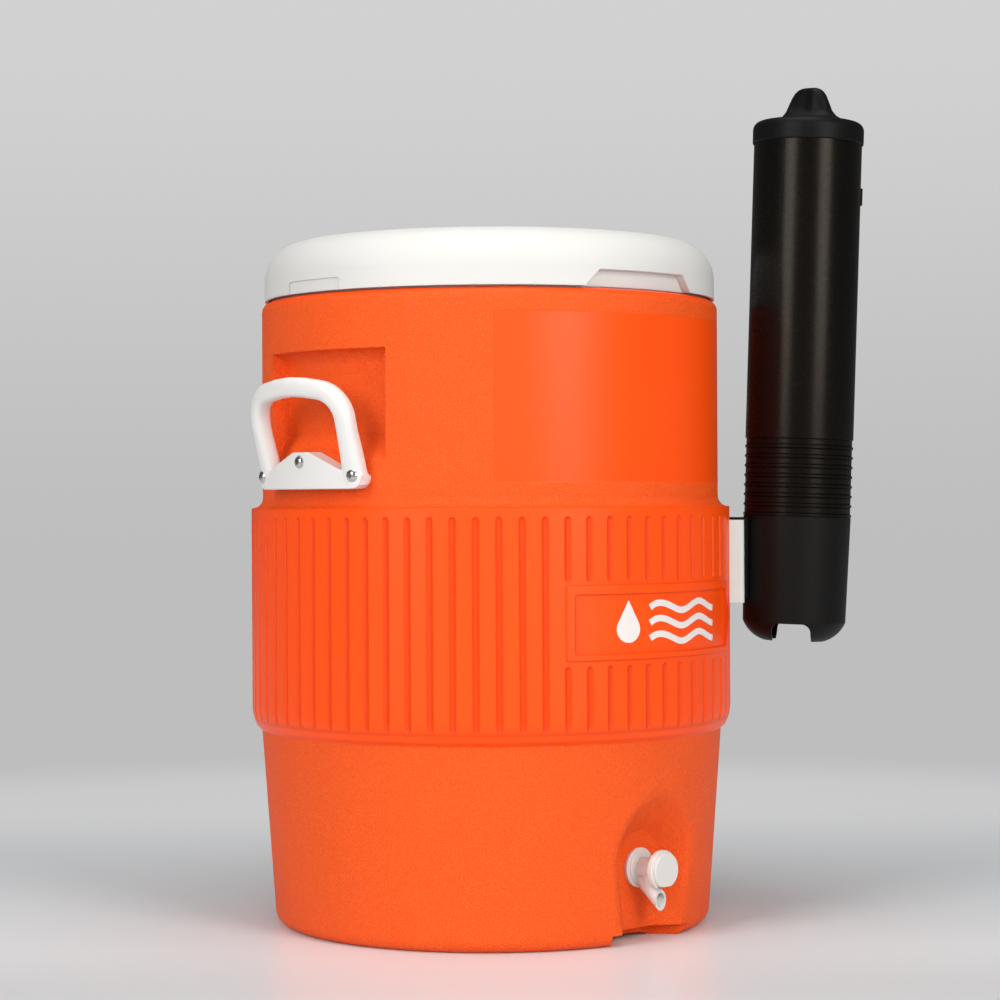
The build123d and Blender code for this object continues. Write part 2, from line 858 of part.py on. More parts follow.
with BuildPart() as spigot_stem:
    with BuildSketch(spigot_section):
        Polygon(
            (seat_back - 3, 0),
            (seat_back - 3, 3.5),
            (seat_back - 2, 3.5),
            (seat_back - 2, stem_radius),
            (seat_back, stem_radius),
            (seat_back, 3.2),
            (seat_back + 1, 3.2),
            (seat_back + 1, stem_radius),
            (stem_front, stem_radius),
            (stem_front, 0),
            align=None,
        )
    revolve(axis=spigot_axis)
save(spigot_stem, "spigot_stem")

with BuildPart() as valve_seal:
    add(washer(stem_radius, 5.4, seat_back - 2, seat_back))
save(valve_seal, "valve_seal")

with BuildPart() as spigot_spring:
    with BuildLine() as coil:
        Helix(
            pitch=2.0,
            height=spring_seat - wall_front - 1.0,
            radius=4.8,
            center=(0, -wall_front - 0.5, spigot_height),
            direction=(0, -1, 0),
        )
    with BuildSketch(Plane(origin=coil.line @ 0, z_dir=coil.line % 0)):
        Circle(0.45)
    sweep(is_frenet=True)
save(spigot_spring, "spigot_spring")

# ---- cup dispenser bracket on the band ----
with BuildPart() as dispenser_bracket:
    with BuildSketch(radial_floor.offset(bracket_low)) as bracket_outline:
        with Locations(((180 + bracket_face) / 2, 0)):
            Rectangle(bracket_face - 180, 2 * bracket_half)
    extrude(amount=bracket_high - bracket_low)
    front_edges = dispenser_bracket.edges().filter_by(Axis.Z).sort_by_distance((0, 0, 295))[-2:]
    fillet(front_edges, 4)
    add(ring(100, band_radius, 200, 400), mode=Mode.SUBTRACT)
    with BuildSketch(radial_floor.offset(bracket_low + 3)):
        with Locations(((slot_back + slot_front) / 2, 0)):
            Rectangle(slot_front - slot_back, 2 * slot_half)
        with Locations(((slot_front + bracket_face + 2) / 2, 0)):
            Rectangle(bracket_face + 2 - slot_front, 2 * slot_mouth)
    extrude(amount=bracket_high - bracket_low, mode=Mode.SUBTRACT)
    sunk_screw = screw_shape(4.0, 2.0, 16.0, True)
    with Locations(*bracket_seats):
        add(sunk_screw, mode=Mode.SUBTRACT)
save(dispenser_bracket, "dispenser_bracket")

with BuildPart() as bracket_screws:
    with Locations(*bracket_seats):
        add(sunk_screw)
save(bracket_screws, "bracket_screws")

# ---- cup tube: plain upper wall, ribbed lower wall, socket end ----
rib_first = rib_low + 1.4 - axis_low
socket_radius = 43.0
with BuildPart() as dispenser_tube:
    with BuildSketch(tube_section):
        Polygon(
            (tube_bore, rib_low - socket_depth - axis_low),
            (socket_radius, rib_low - socket_depth - axis_low),
            (socket_radius, rib_low - axis_low),
            (rib_radius, rib_low - axis_low),
            (rib_radius, rib_high - axis_low),
            (tube_radius, rib_high - axis_low),
            (tube_radius, tube_top - axis_low),
            (tube_bore, tube_top - axis_low),
            align=None,
        )
        for index in range(rib_count):
            with Locations((rib_radius, rib_first + index * rib_pitch)):
                Rectangle(2 * (tube_radius - rib_radius), rib_width)
    revolve(axis=tube_axis)
    with BuildSketch(tube_section):
        with Locations((tube_radius, 598 - axis_low)):
            Rectangle(2.6, 14)
    extrude(amount=5, both=True)
save(dispenser_tube, "dispenser_tube")

# ---- base cup with a bowl-shaped bottom, rail and web ----
bowl = base_bottom - axis_low
slot_section = tube_section.rotated((0, 0, slot_turn))
with BuildPart() as base_bore:
    with BuildSketch(tube_section):
        with BuildLine():
            Polyline((0, bowl - 10), (23.5, bowl - 10), (23.5, bowl + 1))
            ThreePointArc((23.5, bowl + 1), (33.4, -14.6), (39.0, -3))
            Polyline(
                (39.0, -3),
                (40.6, -3),
                (41.4, rib_low - socket_depth - axis_low),
                (socket_radius, rib_low - socket_depth - axis_low),
                (socket_radius, rib_low + 40 - axis_low),
                (0, rib_low + 40 - axis_low),
                (0, bowl - 10),
            )
        make_face()
    revolve(axis=tube_axis)

with BuildPart() as dispenser_base:
    with BuildSketch(tube_section):
        with BuildLine():
            Polyline(
                (0, bowl - 1.5),
                (0, rib_low - axis_low),
                (base_radius_top, rib_low - axis_low),
                (base_radius_low, base_corner),
            )
            ThreePointArc((base_radius_low, base_corner), (35.4, -17.6), (25, bowl - 1.5))
            Line((25, bowl - 1.5), (0, bowl - 1.5))
        make_face()
    revolve(axis=tube_axis)
    with BuildSketch(radial_floor.offset(bracket_low + 3)):
        with Locations(((slot_back + slot_front) / 2, 0)):
            Rectangle(slot_front - slot_back - 2 * slide_gap, 2 * (slot_half - slide_gap))
        with Locations(((slot_back + axis_at_low) / 2, 0)):
            Rectangle(axis_at_low - slot_back - 2 * slide_gap, 28)
    extrude(amount=rib_low - bracket_low - 3.4)
    add(base_bore.part, mode=Mode.SUBTRACT)
    with BuildSketch(slot_section) as grip_slot:
        with Locations((0, bowl - 3)):
            Rectangle(slot_width, 2 * (243.7 - base_bottom + 3))
        fillet(grip_slot.vertices().group_by(Axis.Y)[-1], 7)
    extrude(amount=60, both=True, mode=Mode.SUBTRACT)
save(dispenser_base, "dispenser_base")

# ---- flexible ring that holds back the next cup ----
with BuildPart() as cup_retainer:
    with BuildSketch(tube_frame.offset(-3)):
        Circle(40.5)
        Circle(36.5, mode=Mode.SUBTRACT)
    extrude(amount=2.0)
    with BuildSketch(tube_frame.offset(-3)):
        with PolarLocations(35.0, 8):
            Rectangle(8, 9)
    extrude(amount=1.2)
save(cup_retainer, "cup_retainer")

# ---- cap with its pinch knob ----
with BuildPart() as cap_knob:
    with BuildSketch(tube_section) as knob_outline:
        Polygon(
            (-18, 409.5),
            (18, 409.5),
            (15.2, 415),
            (14.8, 435.5),
            (-14.8, 435.5),
            (-15.2, 415),
            align=None,
        )
        fillet(knob_outline.vertices().group_by(Axis.Y)[-1], 9)
    extrude(amount=6.5, both=True)
    with Locations(tube_frame.offset(426)):
        with Locations((0, 33.5, 0), (0, -33.5, 0)):
            Sphere(29.5, mode=Mode.SUBTRACT)

with BuildPart() as dispenser_cap:
    with BuildSketch(tube_section):
        with BuildLine():
            fit_radius = tube_radius + slide_gap
            Polyline((0, 411.6), (0, 409), (40, 407), (41, 403), (fit_radius, 403))
            Polyline((fit_radius, 403), (fit_radius, 388), (cap_radius, 388), (cap_radius, 399))
            ThreePointArc((cap_radius, 399), (43.4, 406.4), (35, 410.2))
            Line((35, 410.2), (0, 411.6))
        make_face()
    revolve(axis=tube_axis)
    add(cap_knob.part)
save(dispenser_cap, "dispenser_cap")
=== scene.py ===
import math

import bmesh
import bpy
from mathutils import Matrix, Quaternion, Vector


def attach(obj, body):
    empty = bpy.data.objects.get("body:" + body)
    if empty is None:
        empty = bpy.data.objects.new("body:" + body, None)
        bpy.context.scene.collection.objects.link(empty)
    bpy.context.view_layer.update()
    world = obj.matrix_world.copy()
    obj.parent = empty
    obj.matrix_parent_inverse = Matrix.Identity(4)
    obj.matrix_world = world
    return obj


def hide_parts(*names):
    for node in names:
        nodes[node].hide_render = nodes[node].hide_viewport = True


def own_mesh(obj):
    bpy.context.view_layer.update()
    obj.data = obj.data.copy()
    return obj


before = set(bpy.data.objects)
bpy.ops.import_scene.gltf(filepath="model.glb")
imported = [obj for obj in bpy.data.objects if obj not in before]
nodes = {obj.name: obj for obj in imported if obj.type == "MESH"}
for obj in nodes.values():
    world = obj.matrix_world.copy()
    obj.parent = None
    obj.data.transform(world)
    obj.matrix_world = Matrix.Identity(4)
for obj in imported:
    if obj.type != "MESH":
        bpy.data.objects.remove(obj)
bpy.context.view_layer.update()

scene = bpy.context.scene

# Directions seen from the camera: to_camera points from the body axis to the lens.
AZIMUTH = math.radians(-45.7)
to_camera = Vector((math.sin(AZIMUTH), -math.cos(AZIMUTH), 0.0))
to_right = Vector((math.cos(AZIMUTH), math.sin(AZIMUTH), 0.0))

# Frame of the leaning cup tube: foot on its axis, then up, outwards and sideways.
LEAN = math.radians(2.0)
OUT = Vector((math.cos(math.radians(-45)), math.sin(math.radians(-45)), 0.0))
TUBE_FOOT = OUT * 0.252 + Vector((0, 0, 0.252))
TUBE_UP = OUT * math.sin(LEAN) + Vector((0, 0, math.cos(LEAN)))
TUBE_OUT = OUT * math.cos(LEAN) - Vector((0, 0, math.sin(LEAN)))
TUBE_SIDE = TUBE_UP.cross(TUBE_OUT)


# Ribs round the lower part of the tube, measured along its axis.
FIRST_RIB = 0.0808
RIB_PITCH = 0.0080
TUBE_GLOSS = 0.16


# ---------------------------------------------------------------- materials
def add_node(tree, kind, **values):
    """New node with its inputs set by name and its properties set by lower-case name."""
    n = tree.nodes.new(kind)
    for key, value in values.items():
        if key in n.inputs:
            n.inputs[key].default_value = value
        else:
            setattr(n, key, value)
    return n


def math_node(tree, operation, *values):
    n = tree.nodes.new("ShaderNodeMath")
    n.operation = operation
    for index, value in enumerate(values):
        if isinstance(value, (int, float)):
            n.inputs[index].default_value = value
        else:
            tree.links.new(value, n.inputs[index])
    return n.outputs[0]


def smooth_step(tree, value, low, high):
    """0 below low and 1 above high; low may be the larger one."""
    n = tree.nodes.new("ShaderNodeMapRange")
    n.interpolation_type = "SMOOTHSTEP"
    n.inputs["From Min"].default_value = low
    n.inputs["From Max"].default_value = high
    tree.links.new(value, n.inputs["Value"])
    return n.outputs["Result"]


def mix_colour(tree, factor, a, b):
    n = tree.nodes.new("ShaderNodeMix")
    n.data_type = "RGBA"
    for index, value in ((0, factor), (6, a), (7, b)):
        if isinstance(value, (int, float)):
            n.inputs[index].default_value = value
        elif isinstance(value, tuple):
            n.inputs[index].default_value = (*value, 1.0)
        else:
            tree.links.new(value, n.inputs[index])
    return n.outputs[2]


def mix_value(tree, factor, a, b):
    n = tree.nodes.new("ShaderNodeMix")
    n.data_type = "FLOAT"
    for index, value in ((0, factor), (2, a), (3, b)):
        if isinstance(value, (int, float)):
            n.inputs[index].default_value = value
        else:
            tree.links.new(value, n.inputs[index])
    return n.outputs[0]


def new_material(name):
    m = bpy.data.materials.new(name)
    m.use_nodes = True
    tree = m.node_tree
    shader = tree.nodes["Principled BSDF"]
    place = tree.nodes.new("ShaderNodeTexCoord")
    return m, tree, shader, place.outputs["Object"]


def noise(tree, place, scale, detail=2.0):
    n = add_node(tree, "ShaderNodeTexNoise", Scale=scale, Detail=detail)
    tree.links.new(place, n.inputs["Vector"])
    return n.outputs["Fac"]


def bump(tree, height, strength, distance, normal=None):
    n = add_node(tree, "ShaderNodeBump", Strength=strength, Distance=distance)
    tree.links.new(height, n.inputs["Height"])
    if normal is not None:
        tree.links.new(normal, n.inputs["Normal"])
    return n.outputs["Normal"]


def soft_edges(tree, radius):
    n = add_node(tree, "ShaderNodeBevel", Radius=radius)
    n.samples = 2
    return n.outputs["Normal"]


def moulded(name, colour, shade, rough, grain=900.0, strength=0.15, depth=0.00008, edge=0.0006, gloss=0.5):
    """Moulded plastic: slight mottling of colour and gloss, fine surface texture and rounded edges."""
    m, tree, shader, place = new_material(name)
    cloud = noise(tree, place, 14.0, 2.0)
    mottled = mix_colour(tree, cloud, colour, shade)
    tree.links.new(mottled, shader.inputs["Base Color"])
    sheen = mix_value(tree, noise(tree, place, 220.0), rough * 0.84, rough * 1.16)
    tree.links.new(sheen, shader.inputs["Roughness"])
    normal = soft_edges(tree, edge) if edge else None
    texture = bump(tree, noise(tree, place, grain, 2.0), strength, depth, normal)
    tree.links.new(texture, shader.inputs["Normal"])
    shader.inputs["Specular IOR Level"].default_value = gloss
    return m


def orange_shell():
    """Orange body plastic: leather grain above and below, satin band, smooth area at the upper front."""
    m, tree, shader, place = new_material("shell_orange")
    axes = tree.nodes.new("ShaderNodeSeparateXYZ")
    tree.links.new(place, axes.inputs[0])
    height = axes.outputs["Z"]
    front = math_node(tree, "MULTIPLY", axes.outputs["Y"], -1.0)
    angle = math_node(tree, "ABSOLUTE", math_node(tree, "ARCTAN2", axes.outputs["X"], front))
    band_low = smooth_step(tree, height, 0.1585, 0.1600)
    band = math_node(tree, "MULTIPLY", band_low, smooth_step(tree, height, 0.3420, 0.3400))
    patch_side = smooth_step(tree, angle, math.radians(44.95), math.radians(44.6))
    patch_low = smooth_step(tree, height, 0.3590, 0.3605)
    patch_high = smooth_step(tree, height, 0.4910, 0.4895)
    patch = math_node(tree, "MULTIPLY", patch_side, math_node(tree, "MULTIPLY", patch_low, patch_high))
    rim = smooth_step(tree, height, 0.5035, 0.5060)
    plain = math_node(tree, "MAXIMUM", math_node(tree, "MAXIMUM", band, patch), rim)
    cloud = noise(tree, place, 9.0, 2.0)
    # The grained zones get a lighter, pinker orange than the satin ones: partly the plastic's tone, partly
    # painted sheen for the haze their grain scatters.
    grain_tone_and_sheen = mix_colour(tree, cloud, (1.0, 0.138, 0.013), (0.96, 0.120, 0.009))
    satin = mix_colour(tree, cloud, (0.96, 0.080, 0.002), (0.93, 0.074, 0.0015))
    cells = add_node(tree, "ShaderNodeTexVoronoi", Scale=560.0)
    cells.feature = "DISTANCE_TO_EDGE"
    tree.links.new(place, cells.inputs["Vector"])
    crease = smooth_step(tree, cells.outputs["Distance"], 0.0, 0.32)
    wrinkle = noise(tree, place, 300.0, 3.0)
    pebbles = math_node(tree, "MULTIPLY_ADD", wrinkle, 0.9, crease)
    # Painted shade: the creases between the grain's cells are painted a darker orange.
    grain_crease_shade = mix_colour(tree, crease, (0.86, 0.082, 0.005), grain_tone_and_sheen)
    coat = mix_colour(tree, plain, grain_crease_shade, satin)
    across = math_node(tree, "MULTIPLY", axes.outputs["X"], axes.outputs["X"])
    along = math_node(tree, "MULTIPLY", axes.outputs["Y"], axes.outputs["Y"])
    radius = math_node(tree, "SQRT", math_node(tree, "ADD", across, along))
    above = smooth_step(tree, height, 0.166, 0.168)
    ribs = math_node(tree, "MULTIPLY", above, smooth_step(tree, height, 0.334, 0.332))
    # Painted shade: inside the flutes, found by their smaller radius, the orange is painted darker.
    flute_shade_mask = math_node(tree, "MULTIPLY", ribs, smooth_step(tree, radius, 0.1968, 0.1958))
    flute_painted_shade = mix_colour(tree, cloud, (0.80, 0.058, 0.0015), (0.76, 0.054, 0.0015))
    shaded = mix_colour(tree, flute_shade_mask, coat, flute_painted_shade)
    tree.links.new(shaded, shader.inputs["Base Color"])
    tree.links.new(mix_value(tree, plain, 0.52, 0.36), shader.inputs["Roughness"])
    shader.inputs["Specular IOR Level"].default_value = 0.26
    relief = math_node(tree, "MULTIPLY", pebbles, mix_value(tree, plain, 1.0, 0.06))
    tree.links.new(bump(tree, relief, 0.90, 0.00042, soft_edges(tree, 0.0016)), shader.inputs["Normal"])
    return m


def tube_black():
    """Satin black of the cup tube, with its specular cut in the creases beside the ribs as painted shade.
    """
    dark, shade = (0.0030, 0.0026, 0.0022), (0.0048, 0.0040, 0.0034)
    m = moulded("dispenser_black", dark, shade, 0.27, 700.0, 0.05, 0.00004, 0.0005, TUBE_GLOSS)
    tree = m.node_tree
    shader = tree.nodes["Principled BSDF"]
    place = tree.nodes.new("ShaderNodeTexCoord").outputs["Object"]
    offset = add_node(tree, "ShaderNodeVectorMath", operation="SUBTRACT")
    tree.links.new(place, offset.inputs[0])
    offset.inputs[1].default_value = TUBE_FOOT
    axial = add_node(tree, "ShaderNodeVectorMath", operation="DOT_PRODUCT")
    tree.links.new(offset.outputs[0], axial.inputs[0])
    axial.inputs[1].default_value = TUBE_UP
    along = axial.outputs["Value"]
    shifted = math_node(tree, "SUBTRACT", along, FIRST_RIB - RIB_PITCH / 2)
    cell = math_node(tree, "FLOORED_MODULO", shifted, RIB_PITCH)
    from_rib = math_node(tree, "ABSOLUTE", math_node(tree, "SUBTRACT", cell, RIB_PITCH / 2))
    beside = smooth_step(tree, from_rib, 0.0007, 0.0011)
    crease = math_node(tree, "MULTIPLY", beside, smooth_step(tree, from_rib, 0.0025, 0.0017))
    started = smooth_step(tree, along, 0.0785, 0.0795)
    ribbed = math_node(tree, "MULTIPLY", started, smooth_step(tree, along, 0.1440, 0.1432))
    # Painted shade: the specular is cut in the creases beside each rib.
    rib_crease_shade = math_node(tree, "MULTIPLY", crease, ribbed)
    tree.links.new(mix_value(tree, rib_crease_shade, TUBE_GLOSS, 0.015), shader.inputs["Specular IOR Level"])
    shader.inputs["Specular Tint"].default_value = (1.0, 0.86, 0.74, 1.0)
    return m


def steel(name, rough=0.22):
    m, tree, shader, place = new_material(name)
    scratches = noise(tree, place, 900.0, 4.0)
    metal = mix_colour(tree, scratches, (0.62, 0.61, 0.60), (0.44, 0.43, 0.42))
    tree.links.new(metal, shader.inputs["Base Color"])
    tree.links.new(mix_value(tree, scratches, rough * 0.8, rough * 1.3), shader.inputs["Roughness"])
    shader.inputs["Metallic"].default_value = 1.0
    tree.links.new(bump(tree, scratches, 0.08, 0.00005, soft_edges(tree, 0.0003)), shader.inputs["Normal"])
    return m


def foam_material(name):
    m, tree, shader, place = new_material(name)
    cells = add_node(tree, "ShaderNodeTexVoronoi", Scale=700.0)
    tree.links.new(place, cells.inputs["Vector"])
    pores = mix_colour(tree, cells.outputs["Distance"], (0.86, 0.76, 0.45), (0.74, 0.62, 0.33))
    tree.links.new(pores, shader.inputs["Base Color"])
    shader.inputs["Roughness"].default_value = 0.9
    tree.links.new(bump(tree, cells.outputs["Distance"], 0.6, 0.0005), shader.inputs["Normal"])
    return m


def white(name, rough, grain=500.0, strength=0.06, depth=0.0001, edge=0.0006, tone=(0.80, 0.785, 0.755)):
    shade = tuple(value * 0.955 for value in tone)
    return moulded(name, tone, shade, rough, grain, strength, depth, edge)


orange = orange_shell()
lid_white = white("lid_white", 0.58, 640.0, 0.55, 0.00020, 0.0012, (0.665, 0.655, 0.632))
handle_white = white("handle_white", 0.36, edge=0.0, tone=(0.745, 0.730, 0.712))
spigot_white = white("spigot_white", 0.38, tone=(0.700, 0.688, 0.660))
bracket_white = white("bracket_white", 0.44, 600.0, tone=(0.680, 0.735, 0.705))
liner_white = white("liner_white", 0.34, tone=(0.80, 0.80, 0.78))
print_white = white("print_white", 0.50, 900.0, 0.10, 0.00003, 0.0001, tone=(0.80, 0.745, 0.72))
black = tube_black()
cap_black = moulded(
    "cap_black",
    (0.0035, 0.0035, 0.0035),
    (0.0055, 0.0055, 0.0055),
    rough=0.46,
    grain=800.0,
    strength=0.25,
    depth=0.0001,
    edge=0.0,
    gloss=0.12,
)
base_black = moulded(
    "base_black",
    (0.0035, 0.0031, 0.0029),
    (0.0055, 0.0048, 0.0044),
    rough=0.50,
    grain=800.0,
    strength=0.22,
    depth=0.0001,
    edge=0.0006,
    gloss=0.14,
)
retainer = moulded("retainer", (0.55, 0.55, 0.53), (0.48, 0.48, 0.46), 0.40, 500.0, 0.1, 0.0001, 0.0003)
rubber = moulded("seal_rubber", (0.62, 0.62, 0.60), (0.54, 0.54, 0.52), 0.75, 900.0, 0.3, 0.00015, 0.0003)
steel_screw = steel("screw_steel")
steel_spring = steel("spring_steel", 0.28)
foam = foam_material("foam")

finish = {
    "outer_shell": orange,
    "foam_insulation": foam,
    "inner_liner": liner_white,
    "panel_emblem": print_white,
    "handle_left": handle_white,
    "handle_right": handle_white,
    "handle_screws": steel_screw,
    "spigot_body": spigot_white,
    "spigot_outer_gasket": rubber,
    "spigot_inner_gasket": rubber,
    "spigot_lock_nut": spigot_white,
    "dispenser_bracket": bracket_white,
    "bracket_screws": steel_screw,
    "lid_shell": lid_white,
    "lid_foam": foam,
    "lid_inner_panel": liner_white,
    "lid_gasket": rubber,
    "spigot_button": spigot_white,
    "spigot_stem": spigot_white,
    "valve_seal": rubber,
    "spigot_spring": steel_spring,
    "dispenser_tube": black,
    "dispenser_base": base_black,
    "cup_retainer": retainer,
    "dispenser_cap": cap_black,
}
for name, material in finish.items():
    mesh = nodes[name].data
    mesh.materials.clear()
    mesh.materials.append(material)


# ---------------------------------------------------------------- rounded handles
def add_piece(name, bm, material, body, slot, *replaced):
    """Smooth-shaded mesh that rides on a body and stands for the named CAD nodes."""
    mesh = bpy.data.meshes.new(name)
    bmesh.ops.recalc_face_normals(bm, faces=bm.faces)
    bm.to_mesh(mesh)
    bm.free()
    for face in mesh.polygons:
        face.use_smooth = True
    mesh.materials.append(material)
    ob = bpy.data.objects.new(name, mesh)
    scene.collection.objects.link(ob)
    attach(ob, body)
    if replaced:
        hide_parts(*replaced)
    return ob


def apply_modifiers(ob):
    """Bakes the modifiers into the mesh and keeps the shading smooth."""
    bpy.context.view_layer.update()
    seen = ob.evaluated_get(bpy.context.evaluated_depsgraph_get())
    mesh = bpy.data.meshes.new_from_object(seen)
    ob.modifiers.clear()
    ob.data = mesh
    for face in mesh.polygons:
        face.use_smooth = True


def remesh(ob, voxel, smoothing):
    """Melts overlapping closed shapes into one skin and rounds its edges."""
    skin = ob.modifiers.new("skin", "REMESH")
    skin.mode = "VOXEL"
    skin.voxel_size = voxel
    rounding = ob.modifiers.new("rounding", "SMOOTH")
    rounding.factor = 0.5
    rounding.iterations = smoothing
    apply_modifiers(ob)


def skin_rings(bm, rings, close_ends=True):
    """Quads between successive closed rings of equal count, with a fan at each end."""
    loops = [[bm.verts.new(point) for point in ring] for ring in rings]
    count = len(loops[0])
    for low, high in zip(loops, loops[1:]):
        for i in range(count):
            j = (i + 1) % count
            bm.faces.new((low[i], low[j], high[j], high[i]))
    if close_ends:
        for ring in (loops[0], loops[-1]):
            bm.faces.new(ring)


# Outer face of the handle plates, measured from the body axis.
PLATE_RADIUS = 0.204


def wrapped(turn, side, height, radius):
    """Point on the handle, given the distance along the plate face, the height and the radius."""
    angle = turn + side / PLATE_RADIUS
    return Vector((radius * math.cos(angle), radius * math.sin(angle), height))


def grip_path():
    """Centre line of the grip as (side, height, radius)."""
    points = [
        (-0.0528, 0.358, 0.1962),
        (-0.0528, 0.366, 0.1967),
        (-0.0526, 0.376, 0.1992),
        (-0.0522, 0.388, 0.2024),
        (-0.0516, 0.398, 0.2051),
    ]
    for step in range(9):
        a = math.radians(step * 82 / 8)
        side = -0.0262 - 0.0251 * math.cos(a)
        points.append((side, 0.4065 + 0.0250 * math.sin(a), 0.2073 + 0.0042 * math.sin(a)))
    half = points + [(-0.0150, 0.4335, 0.2118), (0.0, 0.4345, 0.2120)]
    return half + [(-s, z, r) for s, z, r in reversed(half[:-1])]


def handle(name, turn):
    """D-shaped grip on a curved plate, melted into one moulded piece."""
    bm = bmesh.new()
    path = grip_path()
    rings = []
    for index, (side, height, radius) in enumerate(path):
        before = path[max(index - 1, 0)]
        after = path[min(index + 1, len(path) - 1)]
        along = Vector((after[0] - before[0], after[1] - before[1])).normalized()
        across = Vector((-along.y, along.x))
        low = max(0.0, min(1.0, (0.400 - height) / 0.035))
        wide = 0.0078 + 0.0024 * low
        thick = 0.0075 + 0.0005 * low
        ring = []
        for step in range(24):
            a = math.tau * step / 24
            c, d = math.cos(a), math.sin(a)
            u = wide * math.copysign(abs(c) ** 0.78, c)
            v = thick * math.copysign(abs(d) ** 0.78, d)
            ring.append(wrapped(turn, side + across.x * u, height + across.y * u, radius + v))
        rings.append(ring)
    skin_rings(bm, rings)

    columns = []
    for step in range(85):
        side = -0.0630 + 0.0015 * step
        edge = max(0.0, abs(side) - 0.0530)
        low = 0.3553 + (0.010 - math.sqrt(max(0.0, 0.010 ** 2 - edge ** 2)))
        peak = 0.3842 - max(0.0, abs(side) - 0.009) * 0.415
        end = max(0.0, abs(side) - 0.0550)
        shoulder = 0.3690 - (0.008 - math.sqrt(max(0.0, 0.008 ** 2 - end ** 2)))
        high = max(peak, shoulder, low + 0.0005)
        columns.append([(side, low + (high - low) * row / 12) for row in range(13)])
    faces = []
    for radius in (0.1882, PLATE_RADIUS):
        faces.append([[bm.verts.new(wrapped(turn, s, z, radius)) for s, z in column] for column in columns])
    back, front = faces
    for i in range(len(columns) - 1):
        for j in range(12):
            bm.faces.new((back[i][j], back[i][j + 1], back[i + 1][j + 1], back[i + 1][j]))
            bm.faces.new((front[i][j], front[i + 1][j], front[i + 1][j + 1], front[i][j + 1]))
        for j in (0, 12):
            bm.faces.new((back[i][j], back[i + 1][j], front[i + 1][j], front[i][j]))
    for i in (0, -1):
        for j in range(12):
            bm.faces.new((back[i][j], back[i][j + 1], front[i][j + 1], front[i][j]))
    ob = add_piece(name + "_skin", bm, handle_white, "cooler_body", "handle_white", name)
    remesh(ob, 0.0008, 5)
    return ob


handle("handle_right", math.radians(-2.0))
handle("handle_left", math.radians(178.0))


# ---------------------------------------------------------------- cap of the cup tube
def on_tube(a, b, c):
    """Point given outwards, sideways and up the axis of the leaning tube."""
    return TUBE_FOOT + TUBE_OUT * a + TUBE_SIDE * b + TUBE_UP * c


def curve_value(knots, x):
    """Value on the straight lines between rising knots."""
    if x <= knots[0][0]:
        return knots[0][1]
    for (x0, y0), (x1, y1) in zip(knots, knots[1:]):
        if x <= x1:
            t = (x - x0) / (x1 - x0)
            return y0 + (y1 - y0) * t
    return knots[-1][1]


CAP_SIDES = 96
# Foot and top of the fin along the tube's axis, and its long direction turned from the tube's outward side.
FIN_LOW = 0.4060
FIN_TOP = 0.4357
FIN_TURN = -35.0


def cap():
    """Push-on cap: rounded lid with a twist fin that has a thumb scoop on each face."""
    bm = bmesh.new()
    profile = [(0.0447, 0.4030), (0.0447, 0.3880), (0.0452, 0.3878), (0.0459, 0.3884), (0.0459, 0.3998)]
    for step in range(1, 9):
        a = math.radians(step * 90 / 8)
        profile.append((0.0389 + 0.0070 * math.cos(a), 0.3998 + 0.0068 * math.sin(a)))
    profile += [(0.0250, 0.4076), (0.0130, 0.4081), (0.0015, 0.4083)]
    inner = [(0.0015, 0.4051), (0.0250, 0.4046), (0.0380, 0.4040), (0.0412, 0.4032)]
    loops = []
    for radius, height in profile + inner:
        loop = []
        for k in range(CAP_SIDES):
            a = math.tau * k / CAP_SIDES
            loop.append(bm.verts.new(on_tube(radius * math.cos(a), radius * math.sin(a), height)))
        loops.append(loop)
    loops.append(loops[0])
    for low, high in zip(loops, loops[1:]):
        for k in range(CAP_SIDES):
            n = (k + 1) % CAP_SIDES
            bm.faces.new((low[k], low[n], high[n], high[k]))

    length = [(0.4060, 0.0340), (0.4085, 0.0300), (0.4115, 0.0245), (0.4160, 0.0205), (0.4220, 0.0185),
              (0.4280, 0.0163), (0.4320, 0.0135), (0.4342, 0.0105), (0.4354, 0.0070), (0.4357, 0.0030)]
    width = [(0.4060, 0.0250), (0.4085, 0.0165), (0.4115, 0.0120), (0.4160, 0.0101), (0.4220, 0.0090),
             (0.4280, 0.0080), (0.4320, 0.0068), (0.4342, 0.0052), (0.4354, 0.0034), (0.4357, 0.0016)]
    turn = math.radians(FIN_TURN)
    fin = []
    for level in range(40):
        height = FIN_LOW + (FIN_TOP - FIN_LOW) * math.sin(math.radians(90 * level / 39)) ** 0.9
        ring = []
        for k in range(64):
            a = math.tau * k / 64
            c, d = math.cos(a), math.sin(a)
            u = curve_value(length, height) * math.copysign(abs(c) ** 0.8, c)
            v = curve_value(width, height) * math.copysign(abs(d) ** 0.8, d)
            centre = 0.0065 if d > 0 else -0.0065
            hollow = math.exp(-((u - centre) / 0.0105) ** 4 - ((height - 0.4245) / 0.0095) ** 4)
            v -= math.copysign(min(0.0042 * hollow, abs(v) * 0.75), d)
            out = u * math.cos(turn) - v * math.sin(turn)
            sideways = u * math.sin(turn) + v * math.cos(turn)
            ring.append(on_tube(out, sideways, height))
        fin.append(ring)
    skin_rings(bm, fin)
    ob = add_piece("dispenser_cap_skin", bm, cap_black, "cap", "dispenser_black", "dispenser_cap")
    remesh(ob, 0.0007, 6)
    return ob


cap()


TUBE_RADIUS = 0.0446


def seam():
    """Fine mould line that runs down the side of the cup tube."""
    bm = bmesh.new()
    start = math.radians(-167.6 + 45.0)
    rings = []
    for height in (0.2000, 0.3000, 0.3870):
        ring = []
        for turn, lift in ((-0.0075, -0.0003), (-0.0040, 0.00016), (0.0040, 0.00016), (0.0075, -0.0003)):
            a = start + turn
            radius = TUBE_RADIUS + lift
            ring.append(on_tube(radius * math.cos(a), radius * math.sin(a), height))
        rings.append(ring)
    skin_rings(bm, rings)
    return add_piece("tube_seam", bm, black, "dispenser", "dispenser_black")


seam()


